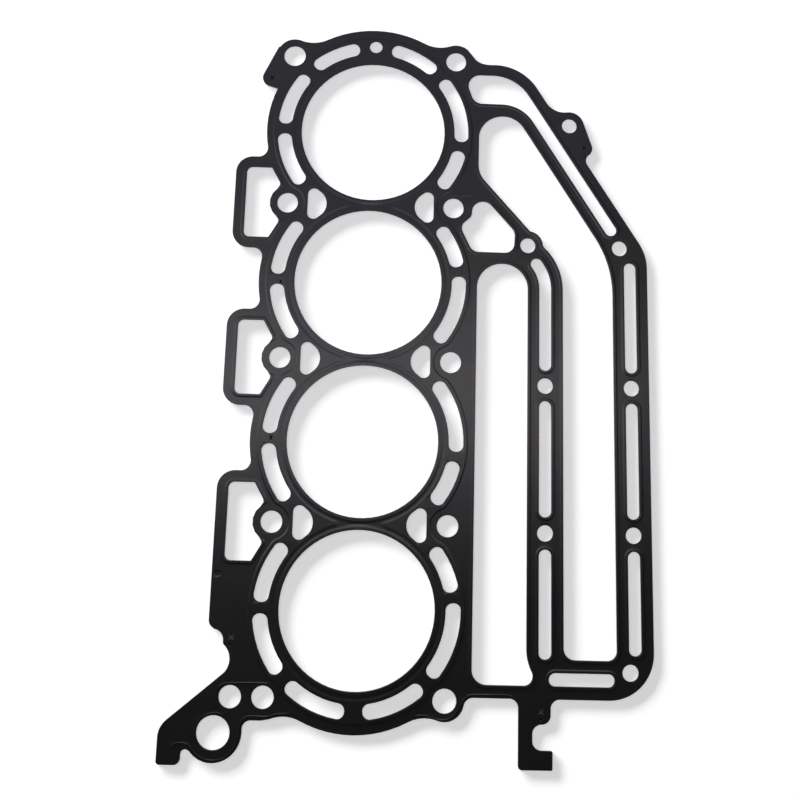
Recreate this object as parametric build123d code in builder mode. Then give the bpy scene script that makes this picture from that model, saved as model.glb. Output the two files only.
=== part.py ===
"""Cylinder head gasket for an in-line four-cylinder powerhead.

X runs across the gasket, with the exhaust side at +X. Y runs along the bores, Z is up.
The origin is the centre of the first bore, on the underside.
"""

import os
from math import acos, ceil, cos, radians, sin, sqrt, tan

from build123d import *

# Sheets, riveted into one plate, and the steps pressed into it, in millimetres
gasket_thickness = 0.9
step_height = 0.2
step_run = 0.6

# Arcs are drawn as chords that stray this far at most, and whole circles stay round
chord_height = 0.25

# Bores, the land between two of them, and the embossed bead that seals each one
bore_count = 4
bore_d = 80.0
bore_bridge = 6.0
bead_gap = 2.9
bead_width = 2.6
bead_depth = 0.2

# Water jacket slots round the bores, as spans of angle in degrees from +X
jacket_gap = 2.7
jacket_width = 7.8
jacket_corner_r = 3.6
end_slot_shift = 0.4
left_spans = [(140.4, 176.8), (183.2, 219.6)]
right_spans = [(-5.1, 40.0), (-39.4, -11.3)]
top_spans = [(47.4, 79.4), (100.6, 132.6)]
bottom_spans = [(-132.7, -95.3), (-84.7, -47.3)]

# Raised zone of the jacket, and the flange outside it
seal_gap = 2.4
seal_blend_r = 3.0
neck_inset = 5.8
flange_land = 3.5
flange_end_land = 4.7
flange_blend_r = 18.6
boss_r = 10.0
wide_boss_r = 11.0
joint_inset = 1.0
junction_r = 5.1

# Head bolts and dowels in two columns beside the bores, and the vent above the first
bolt_inset = 13.5
end_bolt_inset = 17.1
bolt_d = 11.25
bolt_seal_r = 8.9
dowel_d = 12.1
vent_d = 7.2
vent_inset = 10.0

# Drain holes in the lands between the bores
drain_side_inset = 11.0
drain_corner_r = 3.4
drain_tip_r = 8.5
corner_tolerance = 1.0

# Windows on the -X side, one beside each bolt between two bores
window_gap = 9.7
window_half_height = 19.95
window_end_gap = 9.6
window_slant = 60.0
window_corner_r = 3.2
window_edge_r = 1.0
bolt_land_r = 9.8
frame_width = 6.0

# Lug beside the top left bolt, as corners from that bolt with their radii, and the blend at its foot
side_lug = [(0, 0, 0), (-9.2, 5.4, 0), (-19.4, -16.7, 5.1), (0, -22.6, 0)]
side_lug_foot_drop = 18.4
side_lug_blend_r = 4.5

# Foot at the lower left, scalloped beside the last window, as corners from the bottom left bolt
scallop_rise = 32.8
scallop_r = 4.6
foot_corners = [
    (-21.6, 32.2, 5.5),
    (-21.3, 25.4, 1.0),
    (-12.9, 17.4, 9.4),
    (-51.2, -14.8, 10.6),
    (-51.2, -32.6, 1.8),
    (-39.3, -32.6, 3.2),
    (-39.3, -25.2, 2.3),
]
foot_joint_r = 4.3
toe_joint_gap = 35.6
toe_joint_r = 2.0
side_bolt_gap = 16.4
passage_gap = 23.8
passage_drop = 17.2
passage_d = 16.6
passage_boss_r = 14.2

# Exhaust side, laid out in bars and slots from the port outwards
exhaust_gap = 0.1
exhaust_foot_rise = 1.9
exhaust_slant = 57.4
slant_top_rise = 1.4
bar_width = 6.25
slot_width = 6.6
slot_end_r = 3.2
rim_width = 1.85
frame_shoulder_r = 28.2
frame_side_r = 26.3
frame_foot_r = 23.6
frame_top_blend_r = 10.6
frame_foot_blend_r = 4.8

# Port and gallery
port_half_width = 13.95
port_end_flat = 0.2
port_top_drop = 1.5
port_foot_rise = 12.1
port_foot_reach = 6.2
port_side_r = 24.5
port_toe_r = 4.6
port_foot_r = 7.5
gallery_width = 27.5
gallery_lobe_r = 13.6
gallery_shoulder_r = 59.9
gallery_foot_outer_r = 5.0
gallery_foot_inner_r = 6.0
gallery_turn_rise = 12.6
gallery_lobe_rise = 64.9

# Chamber above the gallery, from its corner beside the top right bolt to its end above the cover bolts
chamber_drop = 7.2
chamber_height = 17.5
chamber_corner_gap = 4.5
chamber_corner_r = 6.8
chamber_heel_gap = 10.7
chamber_heel_r = 6.4
chamber_throat_r = 20.5
chamber_shoulder_r = 24.2
chamber_end_inner_rise = 5.7
chamber_end_outer_rise = 9.3

# Small window between the gallery and the first two bores, as corners from the port's left side
small_window = [
    (-3.3, 34.3, 6.2),
    (20.7, 7.7, 5.9),
    (20.1, -4.5, 5.5),
    (-2.8, -4.5, 5.6),
    (-9.9, 10.0, 4.9),
    (-3.3, 15.8, 4.0),
]

# Hooked tab under the exhaust side, as corners from the port's right side
hooked_tab = [
    (12.5, 0, 4.6),
    (12.5, -12.1, 4.6),
    (3.2, -12.1, 4.6),
    (3.2, -24.6, 4.6),
    (13.4, -24.6, 0.8),
    (13.4, -33.8, 0.8),
    (-4.0, -33.8, 1.9),
    (-4.0, 0, 4.6),
]

# Cover bolts between the cooling slots, and the lug that carries the top one
cover_bolt_d = 8.35
cover_boss_r = 8.2
cover_row_rise = 24.6
cover_row_pitch = 77.25
cover_slot_gap = 8.2
top_cover_reach = 51.0
top_cover_drop = 37.4
cover_lug_toe = (8.2, -12.9)
cover_lug_toe_r = 4.7
cover_lug_joint = (-7.1, 4.2)
cover_lug_blend_r = 11.8
cover_lug_toe_joint = (6.7, -17.4)
cover_lug_toe_blend_r = 4.4
inner_cover_bolt_inset = 0.1
outer_cover_bolt_inset = 5.55
foot_cover_bolt_inset = 2.65
foot_cover_bolt_rise = 15.4
hook_slot_turn = 37.0
foot_slot_reach = 7.6

# Circles round each bore, from the bore outwards
bore_r = bore_d / 2
bead_r = bore_r + bead_gap
jacket_inner_r = bead_r + jacket_gap
jacket_outer_r = jacket_inner_r + jacket_width
jacket_seal_r = jacket_outer_r + seal_gap
flange_side_r = jacket_seal_r + flange_land
flange_end_r = jacket_seal_r + flange_end_land

# Rows and columns of the bores and bolts
bore_pitch = bore_d + bore_bridge
last_bore_y = -(bore_count - 1) * bore_pitch
bore_centres = [(0, -n * bore_pitch) for n in range(bore_count)]
inner_rows = [-(n + 0.5) * bore_pitch for n in range(bore_count - 1)]
bolt_x = flange_side_r - bolt_inset
top_row = flange_end_r - end_bolt_inset
bottom_row = last_bore_y - top_row
drain_side_x = bolt_x - drain_side_inset
window_x = flange_side_r + window_gap
window_end_x = bolt_x + window_end_gap
frame_x = window_x + frame_width
frame_half_height = window_half_height + frame_width
passage_x = bolt_x + passage_gap
passage_y = bottom_row - passage_drop

# Columns of the exhaust side, from the port outwards
exhaust_x = flange_side_r + exhaust_gap
port_x = exhaust_x + port_half_width
port_right = port_x + port_half_width
inner_slot_x = port_right + bar_width + slot_width / 2
gallery_left = inner_slot_x + slot_width / 2 + bar_width
gallery_right = gallery_left + gallery_width
outer_slot_x = gallery_right + bar_width + slot_width / 2
exhaust_right = outer_slot_x + slot_width / 2 + bar_width
frame_offset = 2 * bar_width + slot_width
hook_slot_r = port_half_width + bar_width + slot_width / 2

# Rows of the exhaust side
exhaust_bottom = bottom_row + exhaust_foot_rise
port_bottom = exhaust_bottom + bar_width
foot_slot_y = port_bottom + slot_width / 2
gallery_bottom = foot_slot_y + slot_width / 2 + bar_width
foot_cover_row = bottom_row + foot_cover_bolt_rise
port_top_y = -bore_pitch - port_top_drop
first_cover_row = port_top_y + cover_row_rise
second_cover_row = first_cover_row - cover_row_pitch
third_cover_row = second_cover_row - cover_row_pitch
slant_top_y = top_row + slant_top_rise
chamber_top_y = top_row - chamber_drop
chamber_bottom_y = chamber_top_y - chamber_height
frame_top = chamber_top_y + bar_width
top_cover_bolt = (exhaust_x + top_cover_reach, slant_top_y - top_cover_drop)
inner_cover_bolt_x = port_right - inner_cover_bolt_inset

# Low level of the top, between the raised zones
low_z = gasket_thickness - step_height


def rounded(corners, base=(0, 0)):
    """Adds a profile from its sharp corners, each as x and y from the base and the radius that rounds it."""
    with BuildLine() as side:
        points = [(base[0] + x, base[1] + y) for x, y, r in corners]
        FilletPolyline(*points, radius=[r for x, y, r in corners], close=True)
    make_face(side.edges())


def slant_y(x, offset):
    """Height at x of the line that lies outside the gallery's slanted side by the offset."""
    run = radians(exhaust_slant)
    return slant_top_y + (offset - (x - exhaust_x) * sin(run)) / cos(run)


def slant_x(y, offset):
    """Distance from the bores, at height y, of the same line."""
    run = radians(exhaust_slant)
    return exhaust_x + (offset - (y - slant_top_y) * cos(run)) / sin(run)


def half_chord(radius, distance):
    """Half the chord that a line at this distance from the centre cuts from a circle."""
    return sqrt(radius**2 - distance**2)


def from_top_cover_bolt(offset):
    """Point at an offset from the top cover bolt."""
    return (top_cover_bolt[0] + offset[0], top_cover_bolt[1] + offset[1])


def blend(points, radius):
    """Fillets the corners of the outline that lie nearest the given points."""
    for point in points:
        fillet(outline.vertices().sort_by_distance(point)[0], radius)


def jacket_slots_at(bore_y, spans, shift=0):
    """Adds slots round the bore, each between two angles, further out by the shift."""
    for start, end in spans:
        with BuildLine() as side:
            inner = CenterArc((0, bore_y), jacket_inner_r + shift, start, end - start)
            outer = CenterArc((0, bore_y), jacket_outer_r + shift, start, end - start)
            Line(inner @ 0, outer @ 0)
            Line(inner @ 1, outer @ 1)
        make_face(side.edges())


def chorded(sketch):
    """The sketch's faces with their arcs drawn as chords."""
    with BuildSketch() as redrawn:
        for face in sketch.faces():
            with BuildLine() as side:
                for edge in face.outer_wire().edges():
                    chords = 1
                    if edge.geom_type == GeomType.CIRCLE:
                        turn = 2 * acos(1 - chord_height / edge.radius)
                        chords = ceil(edge.length / edge.radius / turn)
                    Polyline(*[edge @ (n / chords) for n in range(chords + 1)])
            make_face(side.edges())
    return redrawn.sketch


def raise_zone(sketch):
    """Raises each face of the sketch above the low level, with a sloping step round it."""
    for face in chorded(sketch).faces():
        crest = offset(face, -step_run, kind=Kind.INTERSECTION, mode=Mode.PRIVATE)
        foot = Plane.XY.offset(low_z) * face
        top = Plane.XY.offset(gasket_thickness) * crest
        loft([foot.face(), top.face()], ruled=True)


# Lug that carries the top cover bolt
with BuildSketch() as cover_lug:
    with Locations(top_cover_bolt):
        Circle(cover_boss_r)
    with Locations(from_top_cover_bolt(cover_lug_toe)):
        Circle(cover_lug_toe_r)
    make_hull()

# Outline: jacket flange, bolt bosses, window frames, foot and exhaust frame as one flat shape
with BuildSketch() as outline:
    with Locations(bore_centres[0], bore_centres[-1]):
        Circle(flange_end_r)
    with Locations((0, last_bore_y / 2)):
        Rectangle(2 * bolt_x, 2 * flange_end_r - last_bore_y, mode=Mode.INTERSECT)
        Rectangle(2 * drain_side_x, -last_bore_y)
    with Locations(*bore_centres):
        Circle(flange_side_r)
    with Locations((-bolt_x, top_row), (bolt_x, top_row), (bolt_x, bottom_row)):
        Circle(boss_r)
    with Locations((-bolt_x, bottom_row)):
        Circle(wide_boss_r)
    frame_corner_r = frame_width + window_corner_r
    for row in inner_rows:
        rounded(
            [
                (-frame_x, frame_half_height, frame_corner_r),
                (0, frame_half_height, 0),
                (0, -frame_half_height, 0),
                (-frame_x, -frame_half_height, frame_corner_r),
            ],
            (0, row),
        )
    rounded(side_lug, (-bolt_x, top_row))
    last_window_rise = inner_rows[-1] - bottom_row
    toe_rise = foot_corners[-1][1]
    rounded(
        [
            (bolt_x, last_window_rise, 0),
            (bolt_x - frame_x, last_window_rise, 0),
            (bolt_x - frame_x, scallop_rise, scallop_r),
            *foot_corners,
            (-passage_gap, toe_rise, 0),
            (-passage_gap, -passage_drop, 0),
            (-passage_gap + passage_boss_r, -passage_drop, 0),
            (-passage_gap + passage_boss_r, -wide_boss_r, foot_joint_r),
            (0, -wide_boss_r, 0),
            (0, 0, 0),
            (bolt_x, 0, 0),
        ],
        (-bolt_x, bottom_row),
    )
    with Locations((-passage_x, passage_y)):
        Circle(passage_boss_r)
    # Exhaust frame, with its hooked tab and the lug of the top cover bolt
    rounded(
        [
            (0, frame_top, 0),
            (slant_x(frame_top, frame_offset), frame_top, frame_shoulder_r),
            (exhaust_right, slant_y(exhaust_right, frame_offset), frame_side_r),
            (exhaust_right, exhaust_bottom, frame_foot_r),
            *[(port_right + x, exhaust_bottom + y, r) for x, y, r in hooked_tab],
            (0, exhaust_bottom, 0),
        ]
    )
    add(cover_lug.sketch)

    # Inside corners where those shapes meet
    frame_joint_x = half_chord(flange_side_r, frame_half_height - bore_pitch / 2)
    frame_joints = [(-frame_joint_x, row + frame_half_height) for row in inner_rows]
    frame_joints += [(-frame_joint_x, row - frame_half_height) for row in inner_rows[:-1]]
    blend(frame_joints, junction_r)
    blend([(-flange_side_r, top_row - side_lug_foot_drop)], side_lug_blend_r)
    end_joint_x = bolt_x - boss_r + joint_inset
    end_joint_y = top_row + boss_r / 2
    for joint_y in (end_joint_y, last_bore_y - end_joint_y):
        blend([(-end_joint_x, joint_y), (end_joint_x, joint_y)], flange_blend_r)
    blend([(bolt_x + boss_r, frame_top)], frame_top_blend_r)
    blend([(bolt_x + boss_r, exhaust_bottom)], frame_foot_blend_r)
    blend([from_top_cover_bolt(cover_lug_joint)], cover_lug_blend_r)
    blend([from_top_cover_bolt(cover_lug_toe_joint)], cover_lug_toe_blend_r)
    blend([(-bolt_x - toe_joint_gap, bottom_row + toe_rise)], toe_joint_r)

# Jacket slots: the left side is alike at each bore, the right side is turned over at every other bore
with BuildSketch() as jacket_slots:
    for index, (_, bore_y) in enumerate(bore_centres):
        turned = [(-end, -start) for start, end in right_spans]
        jacket_slots_at(bore_y, left_spans)
        jacket_slots_at(bore_y, turned if index % 2 else right_spans)
    jacket_slots_at(0, top_spans, end_slot_shift)
    jacket_slots_at(last_bore_y, bottom_spans, end_slot_shift)
    fillet(jacket_slots.vertices(), jacket_corner_r)

# Drain holes, set between the circles of the jacket
with BuildSketch() as drains:
    for row in inner_rows:
        with Locations((0, row)):
            Rectangle(2 * drain_side_x, bore_pitch / 2)
    with Locations(*bore_centres):
        Circle(jacket_inner_r, mode=Mode.SUBTRACT)
    tips = drains.vertices().filter_by(lambda corner: abs(corner.X) < drain_side_x - corner_tolerance)
    drain_length = drain_side_x - half_chord(jacket_inner_r, bore_pitch / 2)
    fillet(tips, min(drain_tip_r, drain_length / 2))
    sides = drains.vertices().filter_by(lambda corner: abs(corner.X) > drain_side_x - corner_tolerance)
    fillet(sides, drain_corner_r)

# Windows beside the inner bolts, hollowed on their inner side round the bolt's land
with BuildSketch() as windows:
    slant_run = window_half_height / tan(radians(window_slant))
    for row in inner_rows:
        rounded(
            [
                (-window_x, window_half_height, window_corner_r),
                (-window_end_x, window_half_height, window_edge_r),
                (-window_end_x + slant_run, 0, 0),
                (-window_end_x, -window_half_height, window_edge_r),
                (-window_x, -window_half_height, window_corner_r),
            ],
            (0, row),
        )
        with Locations((-bolt_x, row)):
            Circle(bolt_land_r, mode=Mode.SUBTRACT)
    horns = windows.vertices().filter_by(lambda corner: corner.X > -window_end_x + window_corner_r)
    fillet(horns, window_corner_r)

# Port, gallery and chamber of the exhaust side, and the small window
with BuildSketch() as ports:
    lobe_r = port_half_width - port_end_flat / 2
    rounded(
        [
            (exhaust_x, port_top_y + port_half_width, lobe_r),
            (port_right, port_top_y + port_half_width, lobe_r),
            (port_right, port_bottom + port_foot_rise, port_side_r),
            (port_right + port_foot_reach, port_bottom, port_toe_r),
            (exhaust_x, port_bottom, port_foot_r),
        ]
    )
    rounded(
        [
            (exhaust_x, slant_top_y, gallery_lobe_r),
            (gallery_right, slant_y(gallery_right, 0), gallery_shoulder_r),
            (gallery_right, gallery_bottom, gallery_foot_outer_r),
            (gallery_left, gallery_bottom, gallery_foot_inner_r),
            (gallery_left, port_top_y + gallery_turn_rise, hook_slot_r + slot_width / 2 + bar_width),
            (exhaust_x, port_top_y + gallery_lobe_rise, gallery_lobe_r),
        ]
    )
    with Locations((inner_cover_bolt_x, first_cover_row)):
        Circle(cover_boss_r, mode=Mode.SUBTRACT)
    chamber_far_side = bar_width + slot_width
    chamber_end_inner_y = first_cover_row + chamber_end_inner_rise
    chamber_end_outer_y = first_cover_row + chamber_end_outer_rise
    rounded(
        [
            (bolt_x + chamber_corner_gap, chamber_top_y, chamber_corner_r),
            (bolt_x + chamber_heel_gap, chamber_bottom_y, chamber_heel_r),
            (slant_x(chamber_bottom_y, bar_width), chamber_bottom_y, chamber_throat_r),
            (slant_x(chamber_end_inner_y, bar_width), chamber_end_inner_y, slot_end_r),
            (slant_x(chamber_end_outer_y, chamber_far_side), chamber_end_outer_y, slot_end_r),
            (slant_x(chamber_top_y, chamber_far_side), chamber_top_y, chamber_shoulder_r),
        ]
    )
    rounded(small_window, (exhaust_x, first_cover_row))

# Cooling slots between the cover bolts
with BuildSketch() as cooling_slots:
    with BuildLine() as bend:
        hook = CenterArc((port_x, port_top_y), hook_slot_r, 0, hook_slot_turn)
        Line(hook @ 0, (inner_slot_x, second_cover_row + cover_slot_gap + slot_width / 2))
    SlotArc(bend.wire(), slot_width)
    for x, top, bottom in (
        (inner_slot_x, second_cover_row, third_cover_row),
        (inner_slot_x, third_cover_row, gallery_bottom - cover_slot_gap),
        (outer_slot_x, first_cover_row, second_cover_row),
        (outer_slot_x, second_cover_row, third_cover_row),
        (outer_slot_x, third_cover_row, foot_cover_row),
    ):
        with Locations((x, (top + bottom) / 2)):
            SlotOverall(top - bottom - 2 * cover_slot_gap, slot_width, rotation=90)
    foot_slot_end = outer_slot_x - foot_cover_bolt_inset - cover_slot_gap
    foot_slot_start = gallery_left - foot_slot_reach
    with Locations(((foot_slot_start + foot_slot_end) / 2, foot_slot_y)):
        SlotOverall(foot_slot_end - foot_slot_start, slot_width)

# Round holes for bolts, dowels and the cover, the vent and the passage in the foot
with BuildSketch() as holes:
    with Locations(*bore_centres):
        Circle(bore_r)
    bolts = [(x, y) for x in (-bolt_x, bolt_x) for y in inner_rows]
    bolts += [(bolt_x, top_row), (-bolt_x, bottom_row), (-bolt_x - side_bolt_gap, bottom_row)]
    with Locations(*bolts):
        Circle(bolt_d / 2)
    with Locations((-bolt_x, top_row), (bolt_x, bottom_row)):
        Circle(dowel_d / 2)
    cover_bolts = [
        top_cover_bolt,
        (inner_cover_bolt_x, first_cover_row),
        (outer_slot_x - outer_cover_bolt_inset, first_cover_row),
        (outer_slot_x - foot_cover_bolt_inset, foot_cover_row),
    ]
    cover_bolts += [(x, y) for x in (inner_slot_x, outer_slot_x) for y in (second_cover_row, third_cover_row)]
    with Locations(*cover_bolts):
        Circle(cover_bolt_d / 2)
    with Locations((0, flange_end_r - vent_inset)):
        Circle(vent_d / 2)
    with Locations((-passage_x, passage_y)):
        Circle(passage_d / 2)

# Raised zone: the jacket, waisted round the bolts
with BuildSketch() as jacket_zone:
    with Locations(*bore_centres):
        Circle(jacket_seal_r)
    with Locations((0, last_bore_y / 2)):
        Rectangle(2 * (bolt_x - neck_inset), -last_bore_y)
    with Locations(*[(x, y) for x in (-bolt_x, bolt_x) for y in [top_row, *inner_rows, bottom_row]]):
        Circle(bolt_seal_r, mode=Mode.SUBTRACT)
    fillet(jacket_zone.vertices(), seal_blend_r)

# Raised rims round the windows, short of the bolts' lands, and round the ports and the cooling slots
with BuildSketch() as rims:
    offset(windows.sketch, rim_width, mode=Mode.ADD)
    with Locations(*[(-bolt_x, row) for row in inner_rows]):
        Circle(bolt_land_r, mode=Mode.SUBTRACT)
    offset(ports.sketch, rim_width, mode=Mode.ADD)
    offset(cooling_slots.sketch, rim_width, mode=Mode.ADD)

# Plate at its low level, the raised zones with their sloping steps, and the openings through both
with BuildPart() as head_gasket:
    extrude(chorded(outline.sketch), amount=low_z)
    raise_zone(jacket_zone.sketch)
    raise_zone(rims.sketch)
    for opening in (jacket_slots, drains, windows, ports, cooling_slots):
        extrude(chorded(opening.sketch), amount=gasket_thickness, mode=Mode.SUBTRACT)
    extrude(holes.sketch, amount=gasket_thickness, mode=Mode.SUBTRACT)

    # Bead pressed into the top round each bore
    for _, bore_y in bore_centres:
        with BuildSketch(Plane((0, bore_y, gasket_thickness), x_dir=(1, 0, 0), z_dir=(0, -1, 0))):
            with BuildLine():
                Polyline(
                    (bead_r - bead_width / 2, 0),
                    (bead_r, -bead_depth),
                    (bead_r + bead_width / 2, 0),
                    close=True,
                )
            make_face()
        revolve(axis=Axis((0, bore_y, 0), (0, 0, 1)), mode=Mode.SUBTRACT)

head_gasket.part.label = "head_gasket"
os.makedirs("parts", exist_ok=True)
export_step(head_gasket.part, "parts/head_gasket.step")
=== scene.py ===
# %% [markdown]
# A cylinder head gasket seals the joint between an engine's block and its head. This one is a pressed steel plate
# with openings for the bores, the bolts, the cooling water and the exhaust. Its sizes come from a CAD model, which
# is loaded first. Building the plate by eye in Blender would lose those sizes, so everything below is placed by
# that model and stays inside its box.

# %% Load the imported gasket
from math import atan2, cos, pi, radians, sin, tan

import bmesh
import bpy
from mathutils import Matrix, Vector


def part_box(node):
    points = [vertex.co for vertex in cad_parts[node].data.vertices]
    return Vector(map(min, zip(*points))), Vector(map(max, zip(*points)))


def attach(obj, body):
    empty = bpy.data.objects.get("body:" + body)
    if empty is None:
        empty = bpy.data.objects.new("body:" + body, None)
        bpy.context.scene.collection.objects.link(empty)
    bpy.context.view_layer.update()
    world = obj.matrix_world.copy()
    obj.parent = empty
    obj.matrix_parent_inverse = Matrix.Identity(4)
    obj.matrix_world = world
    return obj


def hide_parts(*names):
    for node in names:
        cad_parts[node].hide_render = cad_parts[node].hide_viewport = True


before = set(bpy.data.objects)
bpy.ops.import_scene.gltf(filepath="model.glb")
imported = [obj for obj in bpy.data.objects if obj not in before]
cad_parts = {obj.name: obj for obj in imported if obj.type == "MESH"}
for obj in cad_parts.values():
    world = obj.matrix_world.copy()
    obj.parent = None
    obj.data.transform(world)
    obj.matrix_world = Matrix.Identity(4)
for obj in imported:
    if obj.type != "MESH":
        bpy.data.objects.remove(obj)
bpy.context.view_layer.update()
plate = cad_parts["head_gasket"]
low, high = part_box("head_gasket")
print("gasket from", low, "to", high)

# %% [markdown]
# The photograph looks almost straight down at a gasket that lies on a white table. A camera is set by the place
# of its lens, its turn and its focal length. Here the lens is 32 cm above the plate, near its middle, and leans
# back by six degrees, which makes the lower end of the gasket look larger. A long lens from far away would make
# both ends the same size.

# %% Set up the camera
camera_place = (0.01355, -0.16804, 0.32008)
camera_turn = (6.411, -1.098, 1.608)
camera_data = bpy.data.cameras.new("camera")
camera_data.lens = 27.0
camera_data.sensor_width = 36.0
camera_data.shift_y = -0.0419
camera_data.clip_start = 0.01
camera = bpy.data.objects.new("camera", camera_data)
bpy.context.scene.collection.objects.link(camera)
camera.location = camera_place
camera.rotation_euler = [radians(angle) for angle in camera_turn]
bpy.context.scene.camera = camera
print("camera height", camera.location.z)


# %% [markdown]
# Every material here is built from nodes. Four small helpers keep that short: one starts an empty material, one
# adds a node and fills in its sockets, one adds a colour ramp, and one links the nodes.

# %% Helpers for materials
def new_material(name):
    """An empty node material and its output node."""
    material = bpy.data.materials.new(name)
    material.use_nodes = True
    material.node_tree.nodes.clear()
    output = material.node_tree.nodes.new("ShaderNodeOutputMaterial")
    return material, output


def add_node(tree, kind, **sockets):
    """A node of a kind, with values for its sockets by their names."""
    node = tree.nodes.new(kind)
    for socket, value in sockets.items():
        node.inputs[socket.replace("_", " ")].default_value = value
    return node


def add_ramp(tree, *stops):
    """A colour ramp with stops, each a position and a colour."""
    node = tree.nodes.new("ShaderNodeValToRGB")
    elements = node.color_ramp.elements
    for element, (position, colour) in zip(elements, (stops[0], stops[-1])):
        element.position = position
        element.color = (*colour, 1)
    for position, colour in stops[1:-1]:
        elements.new(position).color = (*colour, 1)
    return node


def connect(tree, *pairs):
    """Link each output to an input."""
    for output, socket in pairs:
        tree.links.new(output, socket)


print("helpers for materials ready")

# %% [markdown]
# The table is a plain white sheet that runs past every edge of the picture. Part of its white is given to the
# camera as a glow of its own, and the rest is lit, which keeps the gasket's shadow. Further out, where the lamps
# no longer reach, the glow rises to full white.

# %% Make the table
table_size = 8.0
table_gap = 0.00002
table_tone = (0.78, 0.78, 0.78, 1)
near_glow = 0.42
glow_start = 0.36
glow_end = 1.6

bpy.ops.object.select_all(action="DESELECT")
bpy.ops.mesh.primitive_plane_add(size=table_size, location=(0, 0, low[2] - table_gap))
table = bpy.context.object
table.name = "table"
table_white, table_output = new_material("table_white")
tree = table_white.node_tree
lit = add_node(tree, "ShaderNodeBsdfDiffuse", Color=table_tone)
glow = add_node(tree, "ShaderNodeEmission", Color=(1, 1, 1, 1))
place = tree.nodes.new("ShaderNodeTexCoord")
distance = tree.nodes.new("ShaderNodeVectorMath")
distance.operation = "LENGTH"
strength = add_node(
    tree, "ShaderNodeMapRange", From_Min=glow_start, From_Max=glow_end, To_Min=near_glow, To_Max=1.0,
)
ray = tree.nodes.new("ShaderNodeLightPath")
seen = tree.nodes.new("ShaderNodeMath")
seen.operation = "MULTIPLY"
both = tree.nodes.new("ShaderNodeAddShader")
connect(
    tree,
    (place.outputs["Object"], distance.inputs[0]),
    (distance.outputs["Value"], strength.inputs["Value"]),
    (strength.outputs["Result"], seen.inputs[0]),
    (ray.outputs["Is Camera Ray"], seen.inputs[1]),
    (seen.outputs[0], glow.inputs["Strength"]),
    (lit.outputs[0], both.inputs[0]),
    (glow.outputs[0], both.inputs[1]),
    (both.outputs[0], table_output.inputs["Surface"]),
)
table.data.materials.append(table_white)
print("table", tuple(table.dimensions))


# %% [markdown]
# The lamps are those of a product photograph. A wide soft box hangs above the middle of the gasket and shows as
# a pale band across it, and a dimmer one carries the band on over the right arms. Two more, beyond the upper end
# and at the left, lift the upper half and the raised edges.

# %% Hang the soft boxes
def add_lamp(name, place, aim, width, height, power, tint=(1, 1, 1)):
    """A rectangular lamp that faces a point."""
    data = bpy.data.lights.new(name, "AREA")
    data.shape = "RECTANGLE"
    data.size = width
    data.size_y = height
    data.energy = power
    data.color = tint
    lamp = bpy.data.objects.new(name, data)
    bpy.context.scene.collection.objects.link(lamp)
    lamp.location = place
    lamp.rotation_euler = (Vector(aim) - Vector(place)).to_track_quat("-Z", "Y").to_euler()
    print(name, tuple(place), power)
    return lamp


add_lamp(
    "band_box", place=(-0.95, -0.05, 1.1), aim=(-0.95, -0.05, 0),
    width=2.7, height=0.38, power=4.37, tint=(1, 0.985, 0.99),
)
add_lamp(
    "band_end", place=(0.72, -0.05, 1.1), aim=(0.72, -0.05, 0),
    width=0.64, height=0.38, power=0.5, tint=(1, 0.985, 0.98),
)
add_lamp(
    "upper_box", place=(-0.15, 0.85, 1.15), aim=(0, 0, 0),
    width=2.2, height=1.2, power=2.75, tint=(0.82, 0.84, 1),
)
add_lamp(
    "left_box", place=(-1.3, 0.35, 0.9), aim=(0, -0.1, 0),
    width=0.7, height=1.2, power=2.2, tint=(0.9, 0.92, 1),
)

# %% [markdown]
# A low, far lamp at the upper left throws the soft shadow that lies to the lower right of every edge. It is ten
# metres away, so that it lights the table evenly, and very wide, so that the shadow is soft on all sides. A sun
# lamp is round, and one as wide as this would reach below the table, so a long flat lamp takes its place. It isn't
# seen in reflections, where it would glare on every slope.

# %% Set the low lamp
shadow_rise = radians(5)
shadow_side = radians(135)
shadow_reach = 10.0

low_place = Vector((cos(shadow_side), sin(shadow_side), tan(shadow_rise))) * shadow_reach
low_lamp = add_lamp("low_lamp", low_place, aim=(0, -0.13, 0), width=7.3, height=0.62, power=6700)
low_lamp.visible_glossy = False

# %% [markdown]
# The room round the table is dim, so that the gasket reflects little besides the lamps. The camera itself sees
# it as plain white, like the background of the photograph.

# %% Light the room
room_level = 0.05

world = bpy.data.worlds.new("room")
bpy.context.scene.world = world
world.use_nodes = True
tree = world.node_tree
background = tree.nodes["Background"]
background.inputs["Color"].default_value = (1, 1, 1, 1)
ray = tree.nodes.new("ShaderNodeLightPath")
brightness = add_node(tree, "ShaderNodeMapRange", To_Min=room_level, To_Max=1.0)
connect(
    tree,
    (ray.outputs["Is Camera Ray"], brightness.inputs["Value"]),
    (brightness.outputs["Result"], background.inputs["Strength"]),
)
print("room lit")

# %% [markdown]
# A head gasket of this kind is a plate of spring steel, stamped, embossed and coated. Its holes and its outline
# are exactly the CAD model's, so the visible plate starts as a copy of that mesh and keeps its form. The CAD mesh
# draws every arc with a few straight chords. Here the flat faces are taken off, the walls and slopes that are left
# get their arcs back, and the flats are filled in again.

# %% Copy the plate and open its flat faces
merge_distance = 0.000001
flat_normal = 0.9999
same_plane = radians(0.4)

gasket = bpy.data.objects.new("gasket_plate", plate.data.copy())
bpy.context.scene.collection.objects.link(gasket)
gasket.data.materials.clear()
shell = bmesh.new()
shell.from_mesh(gasket.data)
bmesh.ops.remove_doubles(shell, verts=shell.verts[:], dist=merge_distance)
flats = [face for face in shell.faces if abs(face.normal.z) > flat_normal]
bmesh.ops.delete(shell, geom=flats, context="FACES")
seams = [edge for edge in shell.edges if len(edge.link_faces) == 2 and edge.calc_face_angle() < same_plane]
bmesh.ops.dissolve_edges(shell, edges=seams, use_verts=False)
print("walls and slopes:", len(shell.faces), "faces")


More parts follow.
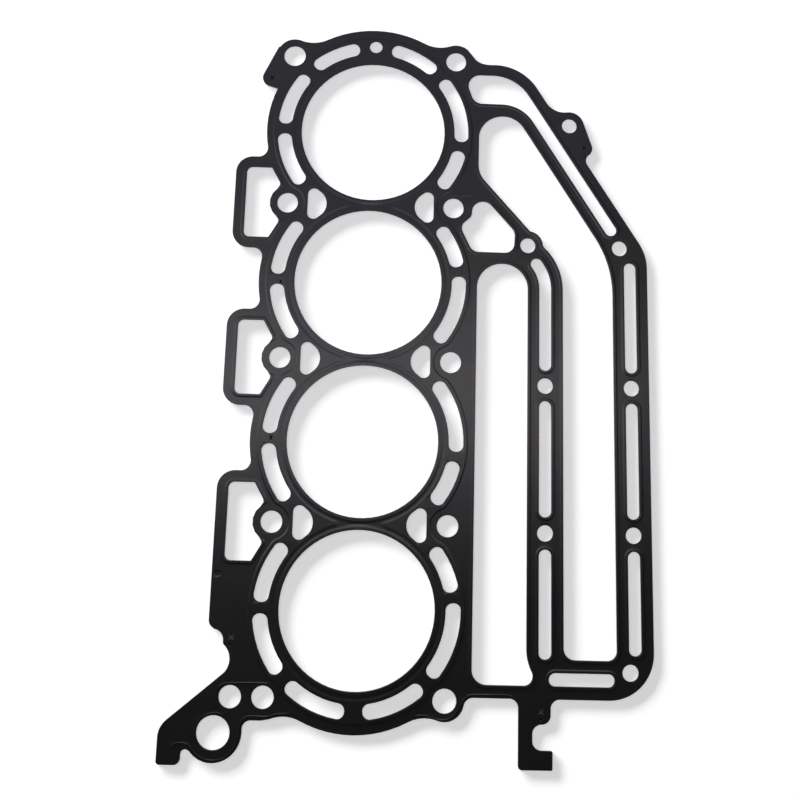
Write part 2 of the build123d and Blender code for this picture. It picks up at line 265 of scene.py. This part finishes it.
# %% [markdown]
# Along an arc the chords are equally long and turn by equal angles. So at both ends of each level edge the turn
# towards the next edge is measured, and how long that edge is beside this one.

# %% Measure the turns
def turn_at(before, here, after):
    """Angle to the left, seen from above, by which a path turns at a point."""
    first = (here - before).xy
    second = (after - here).xy
    return atan2(first.x * second.y - first.y * second.x, first.dot(second))


def is_level(edge):
    """Whether an edge lies at one height."""
    return abs(edge.verts[0].co.z - edge.verts[1].co.z) < merge_distance


def turn_and_ratio(edge, vertex):
    """Turn at an end of a level edge, and the next edge's length over its own."""
    others = [other for other in vertex.link_edges if other is not edge and is_level(other)]
    if len(others) != 1:
        return None
    turn = turn_at(edge.other_vert(vertex).co, vertex.co, others[0].other_vert(vertex).co)
    if vertex is edge.verts[0]:
        turn = -turn
    return turn, others[0].calc_length() / edge.calc_length()


print("level edges:", sum(1 for edge in shell.edges if is_level(edge)))

# %% [markdown]
# An edge belongs to an arc if a neighbour has its length, or if it is a short chord between two lines that turns
# alike at both ends. Half of the angle that it spans gives the arc's rise over the chord. A rise larger than the
# CAD model's chords have shows that the edge is a straight side after all. The two long sides of a wall or slope
# get the same arc, which keeps the strip between them whole.

# %% Find the arcs
largest_turn = radians(75)
largest_rise = 0.00036
alike_lengths = (0.92, 1.09)
alike_turns = 1.2
line_and_chord = 1.4


def half_arc(edge):
    """Half of the angle of the arc that a level edge is a chord of, to the left of its direction."""
    ends = [turn_and_ratio(edge, vertex) for vertex in edge.verts]
    shortest, longest = alike_lengths
    inner = [
        turn / 2 for turn, ratio in filter(None, ends)
        if shortest < ratio < longest and abs(turn) < largest_turn
    ]
    half = 0.0
    if inner:
        half = max(inner, key=abs)
    elif None not in ends and min(ratio for _, ratio in ends) > line_and_chord:
        turns = [turn for turn, _ in ends]
        if min(turns) * max(turns) > 0 and max(map(abs, turns)) < alike_turns * min(map(abs, turns)):
            half = sum(turns) / 2
    rise = edge.calc_length() / 2 * tan(abs(half) / 2)
    return half if rise < largest_rise else 0.0


def share_arc(face, arcs):
    """Give the two level sides of a strip's face the same arc, and leave any other face its chords."""
    sides = [edge for edge in face.edges if is_level(edge)]
    if len(face.edges) != 4 or len(sides) != 2:
        for edge in sides:
            arcs[edge] = 0.0
        return
    one, other = sides
    paths = [edge.verts[1].co - edge.verts[0].co for edge in sides]
    same_way = 1 if paths[0].dot(paths[1]) > 0 else -1
    if abs(arcs[one]) > abs(arcs[other]):
        arcs[other] = arcs[one] * same_way
    else:
        arcs[one] = arcs[other] * same_way


arcs = {edge: half_arc(edge) for edge in shell.edges if is_level(edge)}
for face in shell.faces:
    share_arc(face, arcs)
print("arc chords:", sum(1 for half in arcs.values() if half), "of", len(arcs))

# %% [markdown]
# A new point every four degrees makes an edge look smooth at the size that the camera sees. Each of them lies on
# the circle that passes through both ends of its chord.

# %% Set new points on the arcs
arc_step = radians(4)


def arc_points(edge, half):
    """Points on an arc between the ends of its chord, from the first end to the second."""
    count = round(2 * abs(half) / arc_step)
    if count < 2:
        return []
    start, end = (vertex.co for vertex in edge.verts)
    middle = (start + end) / 2
    along = (end - start).normalized()
    outward = Vector((along.y, -along.x, 0)) * (1 if half > 0 else -1)
    spread = abs(half)
    radius = (end - start).length / 2 / sin(spread)
    points = []
    for index in range(1, count):
        angle = spread * (2 * index / count - 1)
        points.append(middle + along * radius * sin(angle) + outward * radius * (cos(angle) - cos(spread)))
    return points


skin = bmesh.new()
corner = {vertex: skin.verts.new(vertex.co) for vertex in shell.verts}
inserted = {edge: [skin.verts.new(point) for point in arc_points(edge, half)] for edge, half in arcs.items()}
print("new points:", sum(len(points) for points in inserted.values()))


# %% [markdown]
# The walls of the cuts and the slopes of the steps are then drawn afresh. One whose two sides have equally many
# new points becomes a strip of narrow faces, which shades evenly. Any other takes its points into its outline.

# %% Draw the walls and slopes again
def side_points(loop):
    """The first corner of a face's side and the new points behind it."""
    points = inserted.get(loop.edge, [])
    if loop.vert is not loop.edge.verts[0]:
        points = points[::-1]
    return [corner[loop.vert], *points]


def draw_strip(near, far):
    """Draw the faces between two rows of points that run the same way."""
    for index in range(len(near) - 1):
        skin.faces.new((near[index], near[index + 1], far[index + 1], far[index]))


def draw_face(face):
    """Draw a face with its new points, as a strip if its two long sides have equally many."""
    sides = [side_points(loop) for loop in face.loops]
    counts = [len(side) for side in sides]
    first = 0 if counts[0] > 1 else 1
    if len(counts) != 4 or counts[first] != counts[(first + 2) % 4] or counts[1 - first] > 1:
        skin.faces.new([point for side in sides for point in side])
        return
    near = sides[first] + sides[(first + 1) % 4][:1]
    far = sides[(first + 2) % 4] + sides[(first + 3) % 4][:1]
    draw_strip(near, far[::-1])


for face in shell.faces:
    draw_face(face)
shell.free()
print("walls and slopes:", len(skin.faces), "faces")

# %% [markdown]
# A press leaves no sharp lines. The die rolls the upper edge of each cut a little, the lower edge keeps a small
# burr, and a formed step or bead runs out softly into the flat. The bevel tool could round such edges, but it turns
# thin triangles of the flats inside out. So each open border is rounded before the flats are filled. How wide a
# rounding is depends on what meets there.

# %% Choose the width of each rounding
fold_width = 0.00017
cut_width = 0.00012
burr_width = 0.00004
middle_height = 0.00035
steepest_slope = 0.5


def border_width(edge):
    """How wide the rounding of a border edge is."""
    if abs(edge.link_faces[0].normal.z) > steepest_slope:
        return fold_width
    return cut_width if edge.verts[0].co.z > middle_height else burr_width


skin.normal_update()
borders = [edge for edge in skin.edges if len(edge.link_faces) == 1]
print("border edges:", len(borders))

# %% [markdown]
# At a border point the wall or slope is cut a little short, and the flat begins a little further in. Between them
# lies a point near the old one, which makes the edge round. In a tight bend the rounding is narrower, because
# there its inner side has less room.

# %% Place the roundings
sharpest_miter = 2.0
deepest_share = 0.45
smallest_slant = 0.001
sharp_bend = radians(100)
sharp_bend_share = 0.1


def flat_side(edge):
    """Level direction from a border edge into the flat that belongs beside it."""
    loop = edge.link_loops[0]
    path = (loop.link_loop_next.vert.co - loop.vert.co).normalized()
    return Vector((path.y, -path.x, 0)) * (1 if loop.vert.co.z > middle_height else -1)


def rounding(vertex):
    """The three places, wall, middle and flat, that take the place of a border point."""
    edges = [edge for edge in vertex.link_edges if len(edge.link_faces) == 1]
    normals = [flat_side(edge) for edge in edges]
    bend = normals[0].angle(normals[-1])
    room = min(edge.calc_length() for edge in edges) * deepest_share / max(tan(bend / 2), smallest_slant)
    width = min(room, *(border_width(edge) for edge in edges))
    if bend > sharp_bend:
        width *= sharp_bend_share
    miter = sum(normals, Vector()) / max(1 + normals[0].dot(normals[-1]), 1 / sharpest_miter)
    rungs = [edge.other_vert(vertex).co - vertex.co for edge in vertex.link_edges if edge not in edges]
    upright = Vector((0, 0, middle_height - vertex.co.z))
    rung = max(rungs, key=lambda step: step.xy.length, default=upright)
    level_step = rung.xy.length
    share = width / rung.length if level_step < merge_distance else width * miter.length / level_step
    wall = vertex.co + rung * min(share, deepest_share)
    flat = vertex.co + miter * width
    return wall, (wall + vertex.co * 2 + flat) / 4, flat


border_points = list(dict.fromkeys(vertex for edge in borders for vertex in edge.verts))
places = {vertex: rounding(vertex) for vertex in border_points}
print("roundings placed at", len(places), "points")

# %% [markdown]
# Two narrow strips then lead from the shortened wall over the rounded edge into the flat. They are drawn after
# every place is known, because a place is measured from the walls as they were.

# %% Draw the roundings
rolled = {vertex: [vertex] + [skin.verts.new(place) for place in places[vertex][1:]] for vertex in border_points}
for edge in borders:
    loop = edge.link_loops[0]
    start = rolled[loop.vert]
    end = rolled[loop.link_loop_next.vert]
    for step in range(2):
        skin.faces.new((end[step], start[step], start[step + 1], end[step + 1]))
for vertex, (wall, _, _) in places.items():
    vertex.co = wall
print("rounded", len(borders), "border edges")

# %% [markdown]
# Besides the high zones, the plate has a few fine pressed lines at its two ends, which follow its edge and its
# holes. Each is a low rib on the flat. Its path is a few points, in millimetres, with a smooth line through them.

# %% Lay the fine lines
low_top = 0.0007
high_top = 0.0009
rib_paths = {
    "over the two small holes": [
        (-68.9, -298.6), (-67.4, -296.0), (-64.1, -294.8), (-55, -294.5), (-46.5, -294.4), (-44, -294.8),
    ],
    "over the large hole": [(-78.1, -316.2), (-76.7, -312.8), (-73.7, -310.1), (-68.4, -309), (-64.4, -310.3)],
    "along the foot": [
        (-90.8, -326.6), (-88.5, -323.9), (-84.0, -323.5), (-80.8, -324.6), (-77.4, -328.4), (-72.8, -330.9),
        (-67.9, -331.4), (-63.0, -329.8), (-59.1, -326.0), (-57.0, -320.9), (-56.3, -314.0), (-54.1, -311.1),
        (-50.6, -310.2), (-43.6, -310.5), (-38.8, -309.1), (-31.8, -308.6),
    ],
    "right of the last bore": [
        (31.1, -308.6), (36.2, -308.3), (41.6, -310.0), (46.3, -310.2), (50.5, -308.0), (53.9, -303.2),
        (55.8, -299.9), (58.9, -298.1), (66, -297.8), (78.1, -297.8), (83.6, -300.5),
    ],
    "over the bolt by the small window": [
        (41.2, -36.5), (43.5, -35.8), (46.5, -35.6), (50.4, -35.8), (53.7, -35.4), (57.1, -33.9),
    ],
}


def spot(x, y, height):
    """A point that is given in millimetres on the plate and by its height in metres."""
    return Vector((x / 1000, y / 1000, height))


def smooth_path(points, parts=6):
    """Points on a smooth line through given points, on the low flat."""
    places = [spot(x, y, low_top) for x, y in points]
    ends = [places[0] * 2 - places[1], *places, places[-1] * 2 - places[-2]]
    line = []
    for before, start, end, after in zip(ends, ends[1:], ends[2:], ends[3:]):
        for index in range(parts):
            share = index / parts
            line.append((
                start * 2 + (end - before) * share
                + (before * 2 - start * 5 + end * 4 - after) * share ** 2
                + (start * 3 - before - end * 3 + after) * share ** 3
            ) / 2)
    return line + [places[-1]]


rib_lines = {name: smooth_path(points) for name, points in rib_paths.items()}
print("laid", len(rib_lines), "lines")

# %% [markdown]
# A pressed line is round on top and runs out into the flat at its sides and ends. A bevelled curve laid on the
# plate would stay a shell of its own. A rib that is drawn as a strip becomes part of the sheet once the flat is
# filled round it. Five points across are enough for so low a rib, and at each end all of them meet in one point.

# %% Press the fine lines
rib_width = 0.0007
rib_height = 0.00014
rib_profile = ((-0.5, 0.0), (-0.25, 0.7), (0.0, 1.0), (0.25, 0.7), (0.5, 0.0))


def press_rib(line):
    """Add a low rib with pointed ends along a line."""
    rows = []
    for before, here, after in zip(line, line[1:], line[2:]):
        along = (after - before).normalized()
        across = Vector((along.y, -along.x, 0))
        rows.append([
            skin.verts.new(here + across * rib_width * side + Vector((0, 0, rib_height * rise)))
            for side, rise in rib_profile
        ])
    tips = [skin.verts.new(line[0]), skin.verts.new(line[-1])]
    for near, far in zip(rows, rows[1:]):
        draw_strip(near, far)
    for index in range(len(rib_profile) - 1):
        skin.faces.new((tips[0], rows[0][index + 1], rows[0][index]))
        skin.faces.new((tips[1], rows[-1][index], rows[-1][index + 1]))


for name, line in rib_lines.items():
    press_rib(line)
    print("pressed a line", name)

# %% [markdown]
# Small crossed stamps lock the layers of the plate together. Each is a star with four arms, given by its middle,
# its half width and its half height in millimetres, and its middle is pushed down. Cutting the stars out of a
# completed plate would leave slivers beside them, so they too are drawn before the flats are filled. Where the
# stamp has cut the coating, steel shows. The deeper ones get painted shade, a matt black for their hollows. The
# number of its material is its place in the plate's list of materials.

# %% Stamp the marks
stamp_depths = {"bare": 0.00022, "painted_shade": 0.0004}
# The deeper marks take painted shade: their material is a matt black for the hollows.
stamp_materials = {"bare": 1, "painted_shade": 2}
star_corners = 8
arm_reach = 1.3
waist_reach = 0.32
stamps = [
    (-57.9, 29.7, 1.5, 1.9, low_top, "painted_shade"), (-47.3, -87.5, 1.1, 1.8, high_top, "painted_shade"),
    (-48.2, -171.8, 1.2, 1.8, high_top, "painted_shade"), (-63.1, -272.6, 1.9, 1.8, low_top, "bare"),
    (-63.6, -276.4, 1.1, 1.2, low_top, "painted_shade"), (94.8, -305.4, 1.7, 1.7, low_top, "bare"),
    (94.6, -309.2, 1.0, 0.9, low_top, "painted_shade"), (118.9, -5.3, 1.1, 1.5, low_top, "painted_shade"),
]


def stamp_star(x, y, half_width, half_height, top, finish_or_shade):
    """Add a sunken star whose arms point between its two axes."""
    rim = []
    for index in range(star_corners):
        angle = 2 * pi / star_corners * (index + 1)
        reach = arm_reach if index % 2 == 0 else waist_reach
        rim.append(skin.verts.new(
            spot(x + half_width * reach * cos(angle), y + half_height * reach * sin(angle), top)
        ))
    middle = skin.verts.new(spot(x, y, top - stamp_depths[finish_or_shade]))
    for start, end in zip(rim, rim[1:] + rim[:1]):
        face = skin.faces.new((start, end, middle))
        face.material_index = stamp_materials[finish_or_shade]


for stamp in stamps:
    stamp_star(*stamp)
print("stamped", len(stamps), "marks")

# %% [markdown]
# One round punch mark sits below the last window. It is a shallow dish, drawn as rings that sink towards a flat
# middle, each ring by its share of the radius and its depth. The outer ring drops most steeply, because a gentle
# dish would be smoothed away when the plate is shaded.

# %% Punch the round mark
dish_profile = ((1.0, 0.0), (0.85, 0.0001), (0.7, 0.00016), (0.4, 0.00017))
dish_steps = 24


def dish_ring(x, y, radius, depth):
    """A closed ring of points round the middle of the dish."""
    ring = []
    for index in range(dish_steps):
        angle = 2 * pi * index / dish_steps
        ring.append(skin.verts.new(spot(x + radius * cos(angle), y + radius * sin(angle), low_top - depth)))
    return ring + ring[:1]


def punch_dish(x, y, radius):
    """Add a shallow round dish."""
    rings = [dish_ring(x, y, radius * share, depth) for share, depth in dish_profile]
    for outer, inner in zip(rings, rings[1:]):
        draw_strip(outer, inner)
    skin.faces.new(rings[-1][:-1])


punch_dish(x=-72.1, y=-241.7, radius=1.9)
print("punched the round mark")

# %% [markdown]
# The flats of the real plate are the rolled sheet itself. The fill tool closes all rims of one height at once and
# leaves out what lies inside an inner rim, so the openings, ribs and marks stay free.

# %% Fill the flat faces again
rim_reach = 0.00002

skin.to_mesh(gasket.data)
skin.free()
bpy.ops.object.select_all(action="DESELECT")
gasket.select_set(True)
bpy.context.view_layer.objects.active = gasket
bpy.ops.object.mode_set(mode="EDIT")
bpy.ops.mesh.select_mode(type="EDGE")
for height in (low[2], low_top, high_top):
    bpy.ops.mesh.select_all(action="DESELECT")
    sheet = bmesh.from_edit_mesh(gasket.data)
    open_edges = [edge for edge in sheet.edges if len(edge.link_faces) == 1]
    rims = [edge for edge in open_edges if abs(edge.verts[0].co.z - height) < rim_reach]
    for edge in rims:
        edge.select_set(True)
    bmesh.update_edit_mesh(gasket.data)
    bpy.ops.mesh.fill(use_beauty=False)
    print("filled the flats at", height, "inside", len(rims), "edges")
bpy.ops.mesh.select_all(action="SELECT")
bpy.ops.mesh.normals_make_consistent(inside=False)
bpy.ops.object.mode_set(mode="OBJECT")

# %% [markdown]
# Rolled steel is even, so its flats have to shade evenly too, although the fill leaves long thin triangles. Smooth
# shading up to sixty degrees joins the roundings, and normals weighted by area keep the flats flat.

# %% Shade the plate
sharp_angle = radians(60)

bpy.ops.object.shade_smooth_by_angle(angle=sharp_angle)
bpy.ops.object.modifier_add(type="WEIGHTED_NORMAL")
gasket.modifiers[-1].keep_sharp = True
bpy.ops.object.modifier_apply(modifier=gasket.modifiers[-1].name)
print("plate:", len(gasket.data.polygons), "faces")

# %% [markdown]
# The gasket is spring steel under a thin black rubber coating. It is almost black, with a satin shine, and its
# colour drifts a little between a cooler and a warmer black where the coating is thinner. What it reflects has a
# faint blue cast in some patches and a faint red one in others, as a thin film gives it. A painted image would
# have to be unwrapped and would show its grid close up, so both follow a noise in the plate's own coordinates.

# %% Coat the plate
cool_black = (0.0026, 0.0027, 0.0029)
warm_black = (0.0040, 0.0040, 0.0036)
blue_cast = (0.86, 0.86, 1.0)
pale_cast = (0.96, 0.96, 1.0)
red_cast = (1.0, 0.9, 0.87)

coating, coating_output = new_material("black_coating")
tree = coating.node_tree
surface = add_node(tree, "ShaderNodeBsdfPrincipled", Roughness=0.32, IOR=1.75)
place = tree.nodes.new("ShaderNodeTexCoord")
cloud = add_node(tree, "ShaderNodeTexNoise", Scale=18.0, Detail=4.0)
tones = add_ramp(tree, (0.35, cool_black), (0.7, warm_black))
patches = add_node(tree, "ShaderNodeTexNoise", Scale=38.0, Detail=3.0, Roughness=0.6)
cast = add_ramp(tree, (0.36, blue_cast), (0.52, pale_cast), (0.66, red_cast))
connect(
    tree,
    (place.outputs["Object"], cloud.inputs["Vector"]),
    (cloud.outputs["Fac"], tones.inputs["Fac"]),
    (tones.outputs["Color"], surface.inputs["Base Color"]),
    (place.outputs["Object"], patches.inputs["Vector"]),
    (patches.outputs["Fac"], cast.inputs["Fac"]),
    (cast.outputs["Color"], surface.inputs["Specular Tint"]),
    (surface.outputs[0], coating_output.inputs["Surface"]),
)
gasket.data.materials.append(coating)
print("coated", gasket.name)

# %% [markdown]
# Where the stamp has cut through the coating, the bare steel shows. It reflects much more than the rubber does,
# and its scratches make it uneven.

# %% Bare the steel in two marks
dark_steel = (0.03, 0.03, 0.03)
light_steel = (0.15, 0.15, 0.145)

bare, bare_output = new_material("bare_steel")
tree = bare.node_tree
steel = add_node(tree, "ShaderNodeBsdfPrincipled", Roughness=0.45, Metallic=0.6)
place = tree.nodes.new("ShaderNodeTexCoord")
grain = add_node(tree, "ShaderNodeTexNoise", Scale=900.0, Detail=2.0)
shades = add_ramp(tree, (0.0, dark_steel), (1.0, light_steel))
connect(
    tree,
    (place.outputs["Object"], grain.inputs["Vector"]),
    (grain.outputs["Fac"], shades.inputs["Fac"]),
    (shades.outputs["Color"], steel.inputs["Base Color"]),
    (steel.outputs[0], bare_output.inputs["Surface"]),
)
gasket.data.materials.append(bare)
print("bared the steel")

# %% [markdown]
# The deeper marks get painted shade, a matt black that sends back almost no light. The plate's list of
# materials is complete with this one, so the plate now stands for the CAD node and rides on its body.

# %% Paint shade into the deeper marks and hand over the plate
# A matt black that is painted shade for the hollows of the deeper marks.
painted_shade_black = (0.003, 0.003, 0.003, 1)

painted_shade, painted_shade_output = new_material("painted_shade_coating")
tree = painted_shade.node_tree
matt = add_node(tree, "ShaderNodeBsdfPrincipled", Base_Color=painted_shade_black, Roughness=0.8, IOR=1.3)
connect(tree, (matt.outputs[0], painted_shade_output.inputs["Surface"]))
gasket.data.materials.append(painted_shade)
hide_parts("head_gasket")
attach(gasket, "root")
print("materials:", [material.name for material in gasket.data.materials])

# %% [markdown]
# The colours go to the picture unchanged, so that black and white stay as the materials say. The boxes of the CAD
# model and of the visible one are kept, to see that the plate hasn't grown.

# %% Look settings
bpy.context.scene.view_settings.view_transform = "Standard"
